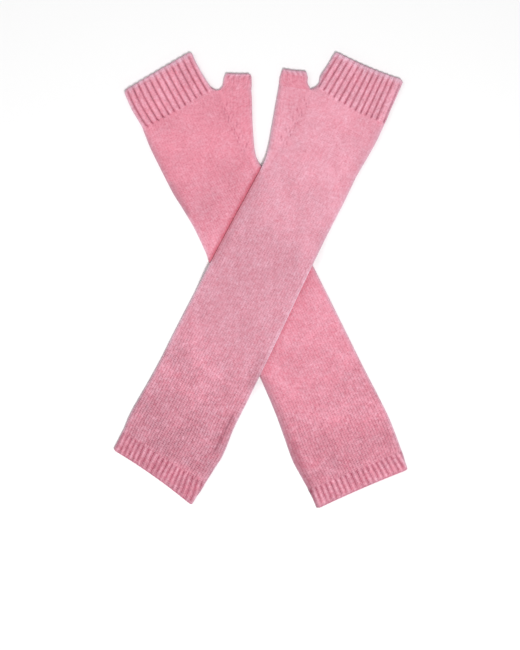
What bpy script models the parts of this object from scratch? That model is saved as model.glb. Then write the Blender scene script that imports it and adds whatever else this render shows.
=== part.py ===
"""A pair of long fingerless gloves in fine knit, laid flat with one crossing over the other.

Each glove is an arm and hand tube with a thumb gusset, a ribbed arm hem, a ribbed hand cuff,
a thumb tube and a ribbed thumb edge. Every piece is a flattened tube: a knit wall round a flat
hollow, open at both ends. The glove's own plane has u from the middle of the arm hem towards the
fingers and v from the middle towards the thumb. Lengths here are in millimetres, and placed()
turns them into metres.
"""

import math
from typing import NamedTuple

import bmesh
import bpy
from mathutils import Vector

METRES = 0.001

# The knit wall and the flattened tube
WALL = 2.0
HOLLOW = 0.6
THICK = 2 * WALL + HOLLOW
SIDE = 3.2
INNER_SIDE = 0.8
FOLD_TURNS = (50, 0, -50)
SEAM_GAP = 0.3

# Ribs, raised on the upper side over a plain inside
RIDGE = 0.6
GROOVE = -0.6
RIM_WAVE = 0.4
RIM_SOFT = 0.45
HEM_RIDGES = 18
HEM_SHOULDER = 0.24
CUFF_RIDGES = 13
CUFF_SHOULDER = 0.16
THUMB_RIDGES = 5
THUMB_SHOULDER = 0.2
UNDER_RIB_STOPS = 9

# The arm hem's height and its rows
HEM_HEIGHT = 21.0
HEM_ROWS = (0.0, 1.6, 11.0, 19.6, HEM_HEIGHT)

# The gusset's start, and the rows of the other pieces
GUSSET_START = 325.0
STEP_ALONG = 11.5
CUFF_STEPS = 6
THUMB_STEPS = 4
EDGE_STEPS = 3

# The upper glove clears the lower one, and comes down to the table outside it
CLEARANCE = 0.3
LEVEL_MARGIN = 4.0
RAMP = 24.0

COLLECTION = "long_fingerless_gloves"
PINK = (0.78, 0.31, 0.40, 1.0)
RIB_PINK = (0.72, 0.28, 0.37, 1.0)


class Width(NamedTuple):
    """Where the two side folds of the arm and hand tube lie, at a distance from the arm hem."""

    along: float
    outer: float
    thumb: float


class Span(NamedTuple):
    """A cross section's two ends, and how far its middle bows towards the fingers."""

    outer_u: float
    outer_v: float
    thumb_u: float
    thumb_v: float
    bow: float = 0.0


class Crease(NamedTuple):
    """A soft trough in the upper side, from one point to another."""

    start_u: float
    start_v: float
    end_u: float
    end_v: float
    depth: float
    reach: float


class Glove(NamedTuple):
    name: str
    hem_middle: tuple
    lean: float
    thumb_turn: int
    hem_slant: float
    hem_bow: float
    slant_fade: float
    widths: tuple
    gusset_v: float
    notch: tuple
    mouth_outer_u: float
    thumb_base_u: float
    cuff: tuple
    thumb: tuple
    edge: tuple
    creases: tuple
    hand_columns: int
    gusset_columns: int


UNDER = Glove(
    name="under",
    hem_middle=(101.54, -208.47),
    lean=-26.12,
    thumb_turn=-1,
    hem_slant=-0.048,
    hem_bow=1.0,
    slant_fade=110.0,
    widths=(
        Width(0, -49.3, 49.5),
        Width(12, -48.7, 51.2),
        Width(38, -49.9, 54.1),
        Width(54, -50.4, 55.3),
        Width(80, -47.6, 55.2),
        Width(108, -44.7, 54.7),
        Width(150, -42.5, 54.4),
        Width(220, -38.9, 54.0),
        Width(304, -36.2, 52.0),
        Width(332, -38.2, 50.6),
        Width(346, -39.8, 51.4),
        Width(360, -40.2, 56.0),
        Width(380, -40.4, 64.2),
        Width(400, -40.2, 73.4),
        Width(420, -38.5, 80.8),
    ),
    gusset_v=45.4,
    notch=(420.5, 47.3),
    mouth_outer_u=421.0,
    thumb_base_u=406.6,
    cuff=(
        Span(421.3, -38.5, 420.8, 47.0),
        Span(424.0, -38.5, 423.4, 43.5),
        Span(430.0, -38.9, 429.8, 41.0),
        Span(440.0, -39.8, 439.4, 39.5),
        Span(453.0, -39.5, 454.0, 38.3),
        Span(461.0, -39.1, 467.0, 38.6),
    ),
    thumb=(
        Span(421.0, 47.6, 406.9, 76.7),
        Span(422.9, 51.4, 410.8, 78.5),
        Span(426.0, 54.0, 414.4, 80.2),
        Span(429.3, 56.2, 417.4, 81.5),
    ),
    edge=(
        Span(429.5, 56.4, 417.7, 81.6),
        Span(431.2, 57.9, 419.3, 82.1, -0.2),
        Span(432.7, 59.3, 420.7, 82.5, -0.5),
    ),
    creases=(
        Crease(26, -44, 70, -42, 0.7, 6.0),
        Crease(120, -34, 160, -30, 0.4, 9.0),
        Crease(300, 40, 360, 44, 0.4, 8.0),
    ),
    hand_columns=8,
    gusset_columns=3,
)

OVER = Glove(
    name="over",
    hem_middle=(-108.66, -196.22),
    lean=27.86,
    thumb_turn=1,
    hem_slant=0.13,
    hem_bow=2.0,
    slant_fade=60.0,
    widths=(
        Width(0, -48.4, 46.6),
        Width(24, -50.7, 46.9),
        Width(38, -52.0, 48.1),
        Width(52, -53.1, 48.4),
        Width(80, -50.3, 47.4),
        Width(108, -49.5, 47.0),
        Width(136, -48.6, 47.6),
        Width(206, -45.8, 48.2),
        Width(262, -43.4, 48.2),
        Width(304, -42.2, 47.8),
        Width(332, -42.0, 48.0),
        Width(346, -41.4, 51.2),
        Width(360, -40.9, 55.8),
        Width(380, -41.7, 62.4),
        Width(400, -42.0, 68.8),
        Width(417, -41.0, 73.8),
    ),
    gusset_v=43.0,
    notch=(415.7, 40.4),
    mouth_outer_u=419.2,
    thumb_base_u=404.9,
    cuff=(
        Span(419.5, -41.0, 416.0, 40.1),
        Span(427.5, -40.6, 424.5, 36.0),
        Span(435.5, -39.7, 433.0, 38.0),
        Span(450.0, -38.8, 445.5, 36.8, -0.9),
        Span(467.0, -37.4, 460.6, 36.5, -1.8),
    ),
    thumb=(
        Span(416.2, 40.6, 405.2, 70.8),
        Span(420.5, 45.9, 410.9, 72.9),
        Span(425.8, 48.5, 417.0, 74.2),
    ),
    edge=(
        Span(426.1, 48.7, 417.3, 74.3),
        Span(428.2, 50.2, 419.2, 74.8, -0.4),
        Span(430.0, 51.8, 420.7, 75.3, -0.8),
    ),
    creases=(
        Crease(50, -43.6, 94, -42.6, 0.8, 6.0),
        Crease(60, 28, 150, 20, 0.4, 9.0),
        Crease(300, 38, 350, 42, 0.4, 8.0),
    ),
    hand_columns=10,
    gusset_columns=3,
)


def clear_scene():
    for item in list(bpy.data.objects):
        bpy.data.objects.remove(item, do_unlink=True)


def smooth_step(share):
    share = min(max(share, 0.0), 1.0)
    return share * share * (3 - 2 * share)


def eased(places, values, at):
    """The value at any place, on a smooth curve through the values at the given places."""
    if at <= places[0]:
        return values[0]
    if at >= places[-1]:
        return values[-1]
    slopes = []
    for i in range(len(places)):
        low, high = max(i - 1, 0), min(i + 1, len(places) - 1)
        slopes.append((values[high] - values[low]) / (places[high] - places[low]))
    i = max(k for k in range(len(places) - 1) if places[k] <= at)
    run = places[i + 1] - places[i]
    t = (at - places[i]) / run
    start = (2 * t**3 - 3 * t**2 + 1) * values[i] + (t**3 - 2 * t**2 + t) * run * slopes[i]
    end = (3 * t**2 - 2 * t**3) * values[i + 1] + (t**3 - t**2) * run * slopes[i + 1]
    return start + end


def side_folds(glove, along):
    """Where the outer and the thumb side's fold lie across the arm and hand tube."""
    places = [row.along for row in glove.widths]
    outer = eased(places, [row.outer for row in glove.widths], along)
    thumb = eased(places, [row.thumb for row in glove.widths], along)
    return outer, thumb


def axes(glove):
    """The glove's own directions on the table: towards the fingers, and towards the thumb."""
    lean = math.radians(glove.lean)
    fingers = Vector((math.sin(lean), math.cos(lean)))
    thumb = Vector((-fingers.y, fingers.x)) * glove.thumb_turn
    return fingers, thumb


def on_table(glove, u, v):
    fingers, thumb = axes(glove)
    return Vector(glove.hem_middle) + fingers * u + thumb * v


def outside_lower_glove(point):
    """How far a point of the table lies outside the lower glove's side folds."""
    fingers, thumb = axes(UNDER)
    offset = point - Vector(UNDER.hem_middle)
    u, v = offset.dot(fingers), offset.dot(thumb)
    outer, thumb = side_folds(UNDER, u)
    return max(v - thumb, outer - v)


def lift(glove, point):
    """The height at which the glove's underside lies over a point of the table."""
    if glove is UNDER:
        return 0.0
    away = outside_lower_glove(point) - LEVEL_MARGIN
    return (THICK + CLEARANCE) * (1 - smooth_step(away / RAMP))


def placed(glove, u, v, z):
    point = on_table(glove, u, v)
    return Vector((point.x, point.y, z + lift(glove, point))) * METRES


def crease_depth(glove, u, v):
    """How deep the soft creases press the upper side in at a point."""
    depth = 0.0
    for crease in glove.creases:
        start = Vector((crease.start_u, crease.start_v))
        run = Vector((crease.end_u, crease.end_v)) - start
        share = (Vector((u, v)) - start).dot(run) / run.length_squared
        nearest = start + run * min(max(share, 0.0), 1.0)
        distance = (Vector((u, v)) - nearest).length
        depth += crease.depth * (1 - smooth_step(distance / crease.reach))
    return depth


def length_of(line):
    return sum((b - a).length for a, b in zip(line, line[1:]))


def walk(line, distance):
    """The point of a bent line at a distance from its first point."""
    for a, b in zip(line, line[1:-1]):
        if distance <= (b - a).length:
            return a + (b - a) * (distance / (b - a).length)
        distance -= (b - a).length
    a, b = line[-2:]
    return a + (b - a) * (distance / (b - a).length)


def cross_section(glove, line, stops, under_stops, wave=0.0, creased=False):
    """The outer and the inner loop of a flattened tube across a line, in metres.

    stops has a (share of the width, height over the plain wall) for each point of the upper
    side, and under_stops has the shares for the flat underside. wave moves the raised points
    of a rim outwards, towards the fingers when it is positive.
    """
    width = length_of(line)
    flat = width - 2 * SIDE
    inset = WALL + INNER_SIDE
    inner_flat = width - 2 * inset
    outer, inner = [], []

    def add(loop, distance, z, forward=0.0):
        point = walk(line, distance)
        loop.append(placed(glove, point.x + forward, point.y, z))

    for share, height in stops:
        point = walk(line, SIDE + share * flat)
        pressed = crease_depth(glove, point.x, point.y) if creased else 0.0
        forward = wave if height > 0 else 0.0
        add(outer, SIDE + share * flat, THICK + height - pressed, forward)
        add(inner, inset + share * inner_flat, WALL + HOLLOW)
    for turn in FOLD_TURNS:
        angle = math.radians(turn)
        reach, rise = 1 - math.cos(angle), 1 + math.sin(angle)
        add(outer, width - SIDE * reach, THICK / 2 * rise)
        add(inner, width - WALL - INNER_SIDE * reach, WALL + HOLLOW / 2 * rise)
    for share in reversed(under_stops):
        add(outer, SIDE + share * flat, 0.0)
        add(inner, inset + share * inner_flat, WALL)
    for turn in reversed(FOLD_TURNS):
        angle = math.radians(turn)
        reach, rise = 1 - math.cos(angle), 1 + math.sin(angle)
        add(outer, SIDE * reach, THICK / 2 * rise)
        add(inner, WALL + INNER_SIDE * reach, WALL + HOLLOW / 2 * rise)
    return outer, inner


def rib_stops(ridges, shoulder, strength=1.0):
    """Flat-topped ridges with a narrow groove between each two."""
    stops = []
    for ridge in range(ridges):
        if ridge:
            stops.append((ridge / ridges, GROOVE * strength))
        stops.append(((ridge + shoulder) / ridges, RIDGE * strength))
        stops.append(((ridge + 1 - shoulder) / ridges, RIDGE * strength))
    return stops


def even_shares(count):
    return [i / (count - 1) for i in range(count)]


def knit_material(name, colour):
    material = bpy.data.materials.new(name)
    material.use_nodes = True
    shader = material.node_tree.nodes["Principled BSDF"]
    shader.inputs["Base Color"].default_value = colour
    shader.inputs["Roughness"].default_value = 0.9
    shader.inputs["Metallic"].default_value = 0.0
    return material


def add_rings(mesh, rings):
    """Skins a row of closed loops, and returns the loops as mesh points."""
    loops = [[mesh.verts.new(point) for point in ring] for ring in rings]
    for low, high in zip(loops, loops[1:]):
        join_loops(mesh, low, high)
    return loops


def join_loops(mesh, low, high):
    count = len(low)
    for i in range(count):
        after = (i + 1) % count
        mesh.faces.new((low[i], low[after], high[after], high[i]))


def tube_object(name, sections, colour, collection, inner_every=1):
    """A wall between the sections' outer and inner loops, with both rims closed over."""
    last = len(sections) - 1
    kept = [i for i in range(last) if i % inner_every == 0] + [last]
    mesh = bmesh.new()
    outer = add_rings(mesh, [section[0] for section in sections])
    inner = add_rings(mesh, [sections[i][1] for i in kept])
    join_loops(mesh, outer[0], inner[0])
    join_loops(mesh, outer[-1], inner[-1])
    bmesh.ops.recalc_face_normals(mesh, faces=mesh.faces)
    data = bpy.data.meshes.new(name)
    mesh.to_mesh(data)
    mesh.free()
    data.shade_smooth()
    data.set_sharp_from_angle(angle=math.radians(40))
    data.materials.append(knit_material(name, colour))
    made = bpy.data.objects.new(name, data)
    collection.objects.link(made)


def slanted(glove, along, v):
    """The station's u at a distance across: it follows the hem's slant, which fades out."""
    return along + glove.hem_slant * (1 - smooth_step(along / glove.slant_fade)) * v


def arm_line(glove, along):
    """The line across the arm and hand tube, bent at the notch beside the thumb."""
    notch_u, notch_v = glove.notch
    rise = min(max((along - GUSSET_START) / (notch_u - GUSSET_START), 0.0), 1.0)
    bend = smooth_step(rise)
    thumb_along = along - bend * (notch_u - glove.thumb_base_u)
    outer = side_folds(glove, along)[0]
    thumb = side_folds(glove, thumb_along)[1]
    if rise > 0:
        middle = glove.gusset_v + (notch_v - glove.gusset_v) * rise
    else:
        middle = thumb - side_folds(glove, GUSSET_START)[1] + glove.gusset_v
    outer_u = slanted(glove, along, outer) + bend * (glove.mouth_outer_u - notch_u)
    return [
        Vector((outer_u, outer)),
        Vector((slanted(glove, along, middle), middle)),
        Vector((slanted(glove, thumb_along, thumb), thumb)),
    ]


def bowed_line(outer, thumb, bow):
    middle = (outer + thumb) / 2
    return [outer, Vector((middle.x + bow, middle.y)), thumb]


def arm_tube(glove, collection):
    start = HEM_HEIGHT + SEAM_GAP
    mouth = glove.notch[0]
    steps = round((mouth - start) / STEP_ALONG)
    sections = []
    for step in range(steps + 1):
        line = arm_line(glove, start + (mouth - start) * step / steps)
        width = length_of(line)
        flat = width - 2 * SIDE
        corner = ((line[1] - line[0]).length - SIDE) / flat
        hand = [corner * i / glove.hand_columns for i in range(glove.hand_columns)]
        gusset = [
            corner + (1 - corner) * i / glove.gusset_columns
            for i in range(glove.gusset_columns + 1)
        ]
        shares = hand + gusset
        stops = [(share, 0.0) for share in shares]
        sections.append(cross_section(glove, line, stops, shares, creased=True))
    inner_every = 2 if glove is UNDER else 1
    tube_object(f"{glove.name}_arm_tube", sections, PINK, collection, inner_every)


def arm_hem(glove, collection):
    under = even_shares(UNDER_RIB_STOPS)
    sections = []
    for along in HEM_ROWS:
        outer, thumb = side_folds(glove, along)
        line = bowed_line(
            Vector((slanted(glove, along, outer), outer)),
            Vector((slanted(glove, along, thumb), thumb)),
            glove.hem_bow * (1 - along / HEM_HEIGHT),
        )
        at_rim = along == HEM_ROWS[0]
        stops = rib_stops(HEM_RIDGES, HEM_SHOULDER, RIM_SOFT if at_rim else 1.0)
        wave = -RIM_WAVE if at_rim else 0.0
        sections.append(cross_section(glove, line, stops, under, wave))
    tube_object(f"{glove.name}_arm_hem", sections, RIB_PINK, collection, 2)


def spans_between(rows, steps):
    """Lines across a piece, spread evenly along a smooth curve through its rows."""
    places = range(len(rows))
    lines = []
    for step in range(steps + 1):
        at = places[-1] * step / steps
        ends = [eased(places, values, at) for values in zip(*rows)]
        lines.append(bowed_line(Vector(ends[:2]), Vector(ends[2:4]), ends[4]))
    return lines


def ribbed_end(glove, part, rows, steps, ridges, shoulder, collection):
    """A ribbed tube whose last row is a free rim."""
    under = even_shares(max(UNDER_RIB_STOPS // 2, 4))
    sections = []
    for step, line in enumerate(spans_between(rows, steps)):
        at_rim = step == steps
        stops = rib_stops(ridges, shoulder, RIM_SOFT if at_rim else 1.0)
        sections.append(cross_section(glove, line, stops, under, RIM_WAVE if at_rim else 0.0))
    tube_object(f"{glove.name}_{part}", sections, RIB_PINK, collection, 2)


def thumb_tube(glove, collection):
    shares = even_shares(5)
    stops = [(share, 0.0) for share in shares]
    sections = [
        cross_section(glove, line, stops, shares)
        for line in spans_between(glove.thumb, THUMB_STEPS)
    ]
    tube_object(f"{glove.name}_thumb_tube", sections, PINK, collection, 2)


def build():
    clear_scene()
    collection = bpy.data.collections.new(COLLECTION)
    bpy.context.scene.collection.children.link(collection)
    for glove in (UNDER, OVER):
        arm_hem(glove, collection)
        arm_tube(glove, collection)
        ribbed_end(
            glove, "hand_cuff", glove.cuff, CUFF_STEPS, CUFF_RIDGES, CUFF_SHOULDER, collection
        )
        thumb_tube(glove, collection)
        ribbed_end(
            glove, "thumb_edge", glove.edge, EDGE_STEPS, THUMB_RIDGES, THUMB_SHOULDER, collection
        )


build()
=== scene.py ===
import math
from typing import NamedTuple

import bmesh
import bpy
import numpy as np
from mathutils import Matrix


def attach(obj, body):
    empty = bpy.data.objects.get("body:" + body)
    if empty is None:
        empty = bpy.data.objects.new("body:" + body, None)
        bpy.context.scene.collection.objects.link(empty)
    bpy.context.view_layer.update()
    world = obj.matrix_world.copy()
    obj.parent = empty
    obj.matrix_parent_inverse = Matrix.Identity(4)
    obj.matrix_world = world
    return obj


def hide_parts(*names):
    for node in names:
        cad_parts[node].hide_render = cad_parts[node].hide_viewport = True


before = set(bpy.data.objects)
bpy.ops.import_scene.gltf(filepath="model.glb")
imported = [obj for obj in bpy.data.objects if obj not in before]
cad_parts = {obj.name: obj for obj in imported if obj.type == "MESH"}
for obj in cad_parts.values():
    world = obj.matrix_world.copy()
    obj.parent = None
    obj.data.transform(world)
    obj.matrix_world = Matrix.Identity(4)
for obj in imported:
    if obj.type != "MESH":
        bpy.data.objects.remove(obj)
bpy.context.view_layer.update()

# The stage: a white table top under even studio light, with the camera straight above the pair.
# One pixel of the 520 x 650 picture is one millimetre at the height of the knit.
MM = 0.001
PIXELS_HIGH = 650
LENS = 100.0
SENSOR = 36.0
KNIT_HEIGHT = 5.0
PICTURE_MIDDLE = (-0.61, -44.92)
TABLE_SIZE = 6.0
TABLE_DROP = 0.3
TABLE_WHITE = (0.98, 0.98, 0.98, 1.0)

table = bmesh.new()
bmesh.ops.create_grid(table, x_segments=1, y_segments=1, size=TABLE_SIZE / 2)
bmesh.ops.translate(table, verts=table.verts, vec=(0.0, 0.0, -TABLE_DROP * MM))
table_mesh = bpy.data.meshes.new("table_top")
table.to_mesh(table_mesh)
table.free()
table_top = bpy.data.objects.new("table_top", table_mesh)
bpy.context.scene.collection.objects.link(table_top)

table_paint = bpy.data.materials.new("white_table")
table_paint.use_nodes = True
table_shader = table_paint.node_tree.nodes["Principled BSDF"]
table_shader.inputs["Base Color"].default_value = TABLE_WHITE
table_shader.inputs["Roughness"].default_value = 1.0
table_mesh.materials.append(table_paint)

camera = bpy.data.objects.new("camera", bpy.data.cameras.new("camera"))
camera.data.lens = LENS
camera.data.sensor_width = SENSOR
camera.location = (
    PICTURE_MIDDLE[0] * MM,
    PICTURE_MIDDLE[1] * MM,
    (PIXELS_HIGH * LENS / SENSOR + KNIT_HEIGHT) * MM,
)
bpy.context.scene.collection.objects.link(camera)
bpy.context.scene.camera = camera

SKY = (1.0, 1.0, 1.0, 1.0)
SKY_STRENGTH = 0.42
world = bpy.data.worlds.new("studio")
world.use_nodes = True
world.node_tree.nodes["Background"].inputs["Color"].default_value = SKY
world.node_tree.nodes["Background"].inputs["Strength"].default_value = SKY_STRENGTH
bpy.context.scene.world = world
bpy.context.scene.view_settings.view_transform = "Standard"


class Lamp(NamedTuple):
    """A soft studio lamp: where it stands in metres, its side in metres and its power in watts."""

    name: str
    place: tuple
    side: float
    power: float


for lamp in (
    Lamp("key", (0.2, -0.55, 1.5), 0.3, 16.5),
    Lamp("fill", (-1.2, 0.4, 1.4), 1.2, 5.0),
):
    light = bpy.data.lights.new(lamp.name, "AREA")
    light.size = lamp.side
    light.energy = lamp.power
    stand = bpy.data.objects.new(lamp.name, light)
    stand.location = lamp.place
    aim = -stand.location
    stand.rotation_euler = aim.to_track_quat("-Z", "Y").to_euler()
    bpy.context.scene.collection.objects.link(stand)


# The arm and hand tubes: plain knit from above the hem to the knuckles, with the thumb gusset
# knitted in. Each lies pressed flat, and the upper glove's tube climbs over the lower one's.
# The glove's own plane has u from the middle of the hem to the fingers and v to the thumb, in mm.
WALL = 2.0
HOLLOW = 0.6
THICK = 2 * WALL + HOLLOW
SIDE = 3.2
FOLD_ARC = 4.35
FOLD_EXTRA = FOLD_ARC - SIDE
CLEARANCE = 0.3
LEVEL_MARGIN = 4.0
RAMP = 24.0
HEM_HEIGHT = 21.0
SEAM_GAP = 0.04
GUSSET_START = 325.0


class Width(NamedTuple):
    """Where the two side folds of the arm and hand tube lie, at a distance from the arm hem."""

    along: float
    outer: float
    thumb: float


class Span(NamedTuple):
    """A cross section's two ends, and how far its middle bows towards the fingers."""

    outer_u: float
    outer_v: float
    thumb_u: float
    thumb_v: float
    bow: float = 0.0


class Stroke(NamedTuple):
    """A soft band from one point to another: its strength in the middle, and how far it reaches."""

    start: tuple
    end: tuple
    strength: float
    reach: float


class Groove(NamedTuple):
    """A rib's groove, by its number: v at the rim, where it fades out, and its middle's bow."""

    number: int
    rim_v: float
    fade_u: float
    fade_v: float
    bow: float = 0.0


class Tone(NamedTuple):
    """The yarn's look at a distance from the hem: brightness, pale nap and clear stitches."""

    along: float
    shade: float
    pale: float
    crisp: float


class Glove(NamedTuple):
    name: str
    hem_middle: tuple
    lean: float
    thumb_turn: int
    hem_slant: float
    hem_bow: float
    slant_fade: float
    widths: tuple
    gusset_v: float
    notch: tuple
    mouth_outer_u: float
    thumb_base_u: float
    cuff: tuple
    thumb: tuple
    edge: tuple
    creases: tuple
    # Soft strokes of painted shade, painted light at negative strength, and darker and lighter patches.
    shading_and_tone: tuple
    hem_grooves: tuple
    cuff_grooves: tuple
    tones: tuple
    thumb_pale: float


UNDER = Glove(
    name="under",
    hem_middle=(101.54, -208.47),
    lean=-26.12,
    thumb_turn=-1,
    hem_slant=-0.048,
    hem_bow=1.0,
    slant_fade=110.0,
    widths=(
        Width(0, -49.3, 49.5),
        Width(12, -48.7, 51.2),
        Width(38, -49.9, 54.1),
        Width(54, -50.4, 55.3),
        Width(80, -47.6, 55.2),
        Width(108, -44.7, 54.7),
        Width(150, -42.5, 54.4),
        Width(220, -38.9, 54.0),
        Width(304, -36.2, 52.0),
        Width(332, -38.2, 50.6),
        Width(346, -39.8, 51.4),
        Width(360, -40.2, 56.0),
        Width(380, -40.4, 64.2),
        Width(400, -40.2, 73.4),
        Width(420, -38.5, 80.8),
    ),
    gusset_v=45.4,
    notch=(420.5, 47.3),
    mouth_outer_u=421.0,
    thumb_base_u=406.6,
    cuff=(
        Span(424.0, -38.5, 423.4, 43.5),
        Span(430.0, -38.9, 429.8, 41.0),
        Span(440.0, -39.8, 439.4, 39.5),
        Span(453.0, -39.5, 454.0, 38.3),
        Span(461.0, -39.1, 467.0, 38.6),
    ),
    thumb=(
        Span(422.9, 51.4, 410.8, 78.5),
        Span(426.0, 54.0, 414.4, 80.2),
        Span(429.3, 56.2, 417.4, 81.5),
    ),
    edge=(
        Span(431.2, 57.9, 419.3, 82.1, -0.2),
        Span(432.7, 59.3, 420.7, 82.5, -0.5),
    ),
    creases=(
        Stroke((26, -44), (70, -42), 0.7, 6.0),
        Stroke((120, -34), (160, -30), 0.4, 9.0),
        Stroke((300, 40), (360, 44), 0.4, 8.0),
    ),
    # Painted shade along folds, creases and the crossing, painted light where negative, and patches.
    shading_and_tone=(
        Stroke((22, -49), (140, -43), 0.32, 11.0),
        Stroke((2, -49), (19, -49), 0.45, 6.0),
        Stroke((326, -38), (358, -40), 0.28, 9.0),
        Stroke((368, -40), (415, -40), 0.2, 7.5),
        Stroke((424, -39), (461, -39.5), 0.16, 6.0),
        Stroke((35, -12), (112, -6), 0.04, 12.0),
        Stroke((152, -41), (165, -40), 0.1, 8.0),
        Stroke((388, -20), (412, -32), -0.06, 14.0),
        Stroke((40, 54), (68, 54), -0.06, 7.0),
    ),
    hem_grooves=(
        Groove(0, -48.2, 23.5, -46.6),
        Groove(7, -10.1, 21.0, -9.5),
        Groove(9, 2.8, 20.2, 3.0),
        Groove(12, 19.4, 19.2, 19.0),
        Groove(17, 46.2, 17.6, 45.0),
    ),
    cuff_grooves=(
        Groove(0, -35.4, 418.0, -33.4, -1.4),
        Groove(6, 2.0, 420.0, 3.9, 0.0),
        Groove(11, 34.4, 423.5, 36.0, -0.6),
    ),
    tones=(
        Tone(0, 1.03, 0.06, 0.9),
        Tone(19, 1.03, 0.06, 0.9),
        Tone(26, 0.93, 0.055, 0.85),
        Tone(60, 0.94, 0.05, 0.8),
        Tone(130, 0.98, 0.05, 0.5),
        Tone(230, 0.95, 0.05, 0.4),
        Tone(320, 0.91, 0.04, 0.4),
        Tone(360, 0.96, 0.0, 0.3),
        Tone(417, 0.97, 0.0, 0.35),
        Tone(424, 1.15, 0.065, 0.6),
        Tone(445, 1.16, 0.065, 0.6),
        Tone(470, 1.20, 0.065, 0.7),
    ),
    thumb_pale=0.01,
)

OVER = Glove(
    name="over",
    hem_middle=(-108.66, -196.22),
    lean=27.86,
    thumb_turn=1,
    hem_slant=0.13,
    hem_bow=2.0,
    slant_fade=60.0,
    widths=(
        Width(0, -48.4, 46.6),
        Width(24, -50.7, 46.9),
        Width(38, -52.0, 48.1),
        Width(52, -53.1, 48.4),
        Width(80, -50.3, 47.4),
        Width(108, -49.5, 47.0),
        Width(136, -48.6, 47.6),
        Width(206, -45.8, 48.2),
        Width(262, -43.4, 48.2),
        Width(304, -42.2, 47.8),
        Width(332, -42.0, 48.0),
        Width(346, -41.4, 51.2),
        Width(360, -40.9, 55.8),
        Width(380, -41.7, 62.4),
        Width(400, -42.0, 68.8),
        Width(417, -41.0, 73.8),
    ),
    gusset_v=43.0,
    notch=(415.7, 40.4),
    mouth_outer_u=419.2,
    thumb_base_u=404.9,
    cuff=(
        Span(427.5, -40.6, 424.5, 36.0),
        Span(435.5, -39.7, 433.0, 38.0),
        Span(450.0, -38.8, 445.5, 36.8, -0.9),
        Span(467.0, -37.4, 460.6, 36.5, -1.8),
    ),
    thumb=(
        Span(420.5, 45.9, 410.9, 72.9),
        Span(425.8, 48.5, 417.0, 74.2),
    ),
    edge=(
        Span(428.2, 50.2, 419.2, 74.8, -0.4),
        Span(430.0, 51.8, 420.7, 75.3, -0.8),
    ),
    creases=(
        Stroke((50, -43.6), (94, -42.6), 0.8, 6.0),
        Stroke((60, 28), (150, 20), 0.4, 9.0),
        Stroke((300, 38), (350, 42), 0.4, 8.0),
    ),
    # Painted shade along folds, creases and the crossing, painted light where negative, and patches.
    shading_and_tone=(
        Stroke((20, 48), (120, 47), 0.12, 5.0),
        Stroke((8, 47), (19, 47), 0.25, 4.0),
        Stroke((345, 50.5), (403, 70), 0.2, 6.0),
        Stroke((420, 37.5), (460, 36.8), 0.26, 5.5),
        Stroke((52, -43.7), (67, -43.4), 0.34, 2.0),
        Stroke((77, -43.2), (91, -43.2), 0.34, 2.0),
        Stroke((126, 42), (108, -32), 0.06, 9.0),
        Stroke((98, 38), (90, -12), -0.06, 12.0),
        Stroke((118, -12), (122, 16), -0.1, 14.0),
        Stroke((126, -45), (156, -43), 0.16, 10.0),
        Stroke((132, 24), (178, 42), -0.09, 13.0),
        Stroke((255, -38), (298, -26), -0.07, 15.0),
        Stroke((272, 38), (322, 44), 0.06, 14.0),
        Stroke((338, -41), (408, -38), 0.08, 13.0),
    ),
    hem_grooves=(
        Groove(0, -50.2, 19.4, -47.5),
        Groove(1, -45.2, 20.0, -42.0),
        Groove(3, -33.4, 21.0, -31.0),
        Groove(7, -12.8, 22.2, -12.5),
        Groove(10, 3.0, 23.4, 3.0),
        Groove(13, 20.0, 25.0, 21.5),
        Groove(18, 45.0, 27.0, 45.0),
    ),
    cuff_grooves=(
        Groove(0, -35.8, 419.5, -40.0),
        Groove(1, -28.4, 418.8, -31.8),
        Groove(5, -7.2, 417.0, -8.9),
        Groove(8, 8.9, 418.0, 10.2),
        Groove(12, 31.6, 421.0, 34.9),
    ),
    tones=(
        Tone(0, 0.95, 0.05, 0.9),
        Tone(20, 0.95, 0.05, 0.9),
        Tone(28, 0.85, 0.10, 1.0),
        Tone(60, 0.89, 0.11, 1.0),
        Tone(110, 1.0, 0.11, 0.8),
        Tone(170, 0.89, 0.14, 0.55),
        Tone(260, 0.89, 0.15, 0.5),
        Tone(320, 1.03, 0.15, 0.4),
        Tone(400, 1.0, 0.10, 0.3),
        Tone(415, 1.0, 0.10, 0.35),
        Tone(422, 1.16, 0.115, 0.6),
        Tone(445, 1.17, 0.115, 0.6),
        Tone(470, 1.21, 0.115, 0.7),
    ),
    thumb_pale=0.02,
)

GLOVES = (UNDER, OVER)


def smooth_step(share):
    share = np.clip(share, 0.0, 1.0)
    return share * share * (3 - 2 * share)


def eased(places, values, at):
    """The value at any place, on a smooth curve through the values at the given places."""
    places, values = np.asarray(places, float), np.asarray(values, float)
    order = np.arange(len(places))
    low, high = np.maximum(order - 1, 0), np.minimum(order + 1, len(places) - 1)
    slopes = (values[high] - values[low]) / (places[high] - places[low])
    at = np.clip(at, places[0], places[-1])
    i = np.clip(np.searchsorted(places, at, side="right") - 1, 0, len(places) - 2)
    run = places[i + 1] - places[i]
    t = (at - places[i]) / run
    start = (2 * t**3 - 3 * t**2 + 1) * values[i] + (t**3 - 2 * t**2 + t) * run * slopes[i]
    end = (3 * t**2 - 2 * t**3) * values[i + 1] + (t**3 - t**2) * run * slopes[i + 1]
    return start + end


def side_folds(glove, along):
    places = [row.along for row in glove.widths]
    outer = eased(places, [row.outer for row in glove.widths], along)
    thumb = eased(places, [row.thumb for row in glove.widths], along)
    return outer, thumb


def axes(glove):
    lean = math.radians(glove.lean)
    fingers = np.array((math.sin(lean), math.cos(lean)))
    thumb = np.array((-fingers[1], fingers[0])) * glove.thumb_turn
    return fingers, thumb


def on_table(glove, u, v):
    """Where points of the glove's own plane lie on the table, in mm."""
    fingers, thumb = axes(glove)
    x = glove.hem_middle[0] + fingers[0] * u + thumb[0] * v
    y = glove.hem_middle[1] + fingers[1] * u + thumb[1] * v
    return x, y


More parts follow.
